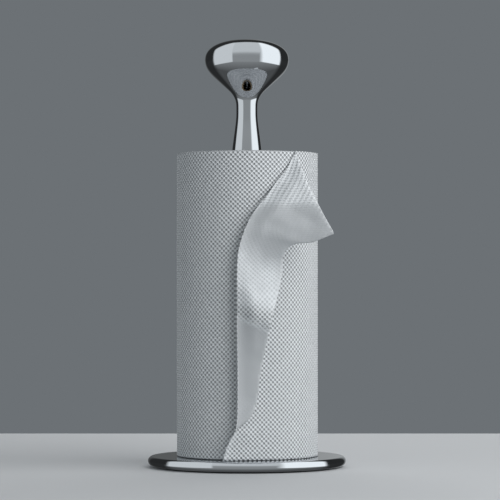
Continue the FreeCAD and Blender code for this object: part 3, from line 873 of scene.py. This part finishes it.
innerFinish = {
    "base_weight": iron, "centre_stud": zinc, "lock_washer": zinc, "centre_collar": zinc,
    "foot_washer": nylon, "post_tube": tubeSteel, "foot_insert": latheSteel,
    "tie_bolt": zinc, "tie_bolt_washer": zinc, "post_coupler": latheSteel, "knob_boss": latheSteel,
}
for name, material in innerFinish.items():
    node = nodes[name]
    node.data.materials.clear()
    node.data.materials.append(material)
print("inner parts finished")


studio = {
    "floorFront": 0.55,         # the floor's front and side edges, in metres
    "floorBack": 0.45,
    "air": "#6C7175",           # grey seen by the camera and by matt things
    "glass": "#F1F6F8",         # tint of what polished metal sees
    "leftPane": 0.86,           # how bright the window's panes are
    "rightPane": 1.35,
    "middlePane": (0.37, 0.76),     # at its sill and its head
    "flags": 0.03,              # everything round the window
    "wall": (0.09, 0.36),       # behind the object, left and right
    "lightsAt": 1.3,            # distance of the soft lights
    "aim": 0.25,                # height they are aimed at
    "lens": 175.6,
    "cameraAt": (0.0025, -2.0, 0.147),
    "cameraTilt": 90.87,
}


def paleFloor():
    # matt sealed board, pale and plain
    material, tree, surface = newMaterial("paleSealedBoard", {
        "Base Color": toLinear("#C2C4C6"), "Roughness": 0.7})
    mesh = bpy.data.meshes.new("floor")
    half, back = studio["floorFront"], studio["floorBack"]
    corners = [(-half, -half, 0), (half, -half, 0), (half, back, 0), (-half, back, 0)]
    mesh.from_pydata(corners, [], [(0, 1, 2, 3)])
    floor = objectFrom("floor", mesh, material, False)
    floor.visible_glossy = False        # polished metal sees the room's dark floor instead


def panel(name, azimuth, elevation, size, radiance, colour):
    # a soft light aimed at the middle of the object; azimuth from the front, positive to the right
    turn, rise = math.radians(azimuth), math.radians(elevation)
    middle = Vector((0, 0, studio["aim"]))
    towards = Vector((math.sin(turn) * math.cos(rise), -math.cos(turn) * math.cos(rise), math.sin(rise)))
    light = bpy.data.lights.new(name, "AREA")
    light.shape = "RECTANGLE"
    light.size, light.size_y = size
    light.energy = radiance * math.pi * size[0] * size[1]
    light.color = toLinear(colour)[:3]
    holder = bpy.data.objects.new(name, light)
    bpy.context.scene.collection.objects.link(holder)
    holder.location = middle + towards * studio["lightsAt"]
    holder.rotation_euler = towards.to_track_quat("Z", "Y").to_euler()
    holder.visible_glossy = False       # polished metal sees the window instead


def studioAir():
    # even grey for the eye and for matt things; polished metal sees a dark room with one wide window
    world = bpy.data.worlds.new("studio")
    world.use_nodes = True
    tree = world.node_tree
    tree.nodes.clear()
    place = addNode(tree, "ShaderNodeTexCoord")
    axes = addNode(tree, "ShaderNodeSeparateXYZ", links={0: place.outputs["Generated"]})
    # where a direction stands on a flat map of the room in front: across and up
    ahead = addNode(tree, "ShaderNodeMath", {"operation": "SUBTRACT", 0: 1.0}, {1: axes.outputs["Y"]})
    across = addNode(tree, "ShaderNodeMath", {"operation": "DIVIDE"},
                     {0: axes.outputs["X"], 1: ahead.outputs[0]})
    up = addNode(tree, "ShaderNodeMath", {"operation": "DIVIDE"},
                 {0: axes.outputs["Z"], 1: ahead.outputs[0]})
    side = addNode(tree, "ShaderNodeMath", {"operation": "ABSOLUTE"}, {0: across.outputs[0]})
    # the window's sill drops and its head drops towards both sides
    drop = addNode(tree, "ShaderNodeMapRange", {
        "From Min": 0.37, "From Max": 1.37, "To Min": 0.25, "To Max": 0.58}, {"Value": side.outputs[0]})
    level = addNode(tree, "ShaderNodeMath", {"operation": "ADD"}, {0: up.outputs[0], 1: drop.outputs[0]})
    sill = addNode(tree, "ShaderNodeMapRange", {"From Min": -0.03, "From Max": 0.02},
                   {"Value": level.outputs[0]})
    arch = addNode(tree, "ShaderNodeMapRange", {
        "From Min": 0.5, "From Max": 1.3, "To Min": 2.5, "To Max": 1.5}, {"Value": side.outputs[0]})
    room = addNode(tree, "ShaderNodeMath", {"operation": "SUBTRACT"}, {0: arch.outputs[0], 1: up.outputs[0]})
    head = addNode(tree, "ShaderNodeMapRange", {"From Max": 0.4}, {"Value": room.outputs[0]})
    jamb = addNode(tree, "ShaderNodeMapRange", {"From Min": 1.38, "From Max": 1.22},
                   {"Value": side.outputs[0]})
    tall = addNode(tree, "ShaderNodeMath", {"operation": "MULTIPLY"},
                   {0: sill.outputs[0], 1: head.outputs[0]})
    opening = addNode(tree, "ShaderNodeMath", {"operation": "MULTIPLY"},
                      {0: tall.outputs[0], 1: jamb.outputs[0]})
    # bright side panes, a grey one between them that is lighter towards its head
    left = addNode(tree, "ShaderNodeMapRange", {
        "From Min": -0.33, "From Max": -0.38, "To Max": studio["leftPane"]},
                   {"Value": across.outputs[0]})
    right = addNode(tree, "ShaderNodeMapRange", {
        "From Min": 0.26, "From Max": 0.42, "To Max": studio["rightPane"]},
                    {"Value": across.outputs[0]})
    middle = addNode(tree, "ShaderNodeMapRange", {
        "interpolation_type": "SMOOTHSTEP", "From Min": 0.1, "From Max": 0.45,
        "To Min": studio["middlePane"][0], "To Max": studio["middlePane"][1]},
        {"Value": up.outputs[0]})
    sides = addNode(tree, "ShaderNodeMath", {"operation": "MAXIMUM"},
                    {0: left.outputs[0], 1: right.outputs[0]})
    panes = addNode(tree, "ShaderNodeMath", {"operation": "MAXIMUM"},
                    {0: sides.outputs[0], 1: middle.outputs[0]})
    # a dark floor that gets darker towards the feet, and black flags beside and above the window
    floor = addNode(tree, "ShaderNodeMapRange", {
        "From Min": -0.25, "From Max": -1.0, "To Min": 0.27, "To Max": 0.07}, {"Value": up.outputs[0]})
    flag = addNode(tree, "ShaderNodeMapRange", {"From Min": 1.5, "From Max": 1.1, "To Min": 0.025},
                   {"Value": side.outputs[0]})
    below = addNode(tree, "ShaderNodeMapRange", {"From Min": 0.0, "From Max": -0.1},
                    {"Value": axes.outputs["Z"]})
    dim = addNode(tree, "ShaderNodeMath", {"operation": "MULTIPLY"},
                  {0: flag.outputs[0], 1: below.outputs[0]})
    under = addNode(tree, "ShaderNodeMath", {"operation": "MULTIPLY_ADD", 2: studio["flags"]},
                    {0: floor.outputs[0], 1: dim.outputs[0]})
    seen = addNode(tree, "ShaderNodeMix", {"data_type": "FLOAT"},
                   {0: opening.outputs[0], 2: under.outputs[0], 3: panes.outputs[0]})
    # the wall behind the object is lighter on its right
    behind = addNode(tree, "ShaderNodeMapRange", {"From Min": 0.9, "From Max": 0.99},
                     {"Value": axes.outputs["Y"]})
    wall = addNode(tree, "ShaderNodeMapRange", {
        "From Min": -0.03, "From Max": 0.04, "To Min": studio["wall"][0], "To Max": studio["wall"][1]},
        {"Value": axes.outputs["X"]})
    whole = addNode(tree, "ShaderNodeMath", {"operation": "MULTIPLY_ADD"},
                    {0: behind.outputs[0], 1: wall.outputs[0], 2: seen.outputs[0]})
    flags = addNode(tree, "ShaderNodeMix", {
        "data_type": "RGBA", "blend_type": "MULTIPLY", "Factor": 1.0, 6: toLinear(studio["glass"])},
        {7: whole.outputs[0]})
    ray = addNode(tree, "ShaderNodeLightPath")
    tone = addNode(tree, "ShaderNodeMix", {"data_type": "RGBA", 6: toLinear(studio["air"])},
                   {"Factor": ray.outputs["Is Glossy Ray"], 7: flags.outputs[2]})
    glow = addNode(tree, "ShaderNodeBackground", links={0: tone.outputs[2]})
    addNode(tree, "ShaderNodeOutputWorld", links={0: glow.outputs[0]})
    bpy.context.scene.world = world


def lightAndCamera():
    scene = bpy.context.scene
    scene.view_settings.view_transform = "Standard"
    panel("rightSoftbox", 52, 26, (1.6, 1.45), 2.65, "#FFFFFF")
    panel("leftSoftbox", -50, 16, (1.45, 1.0), 0.6, "#F5F8F8")
    panel("backSoftbox", 175, 30, (1.6, 1.2), 1.7, "#FFFFFF")
    camera = bpy.data.objects.new("camera", bpy.data.cameras.new("camera"))
    scene.collection.objects.link(camera)
    camera.data.lens = studio["lens"]
    camera.data.clip_end = 20
    camera.location = studio["cameraAt"]
    camera.rotation_euler = (math.radians(studio["cameraTilt"]), 0, 0)
    scene.camera = camera


paleFloor()
studioAir()
lightAndCamera()
print("scene set")
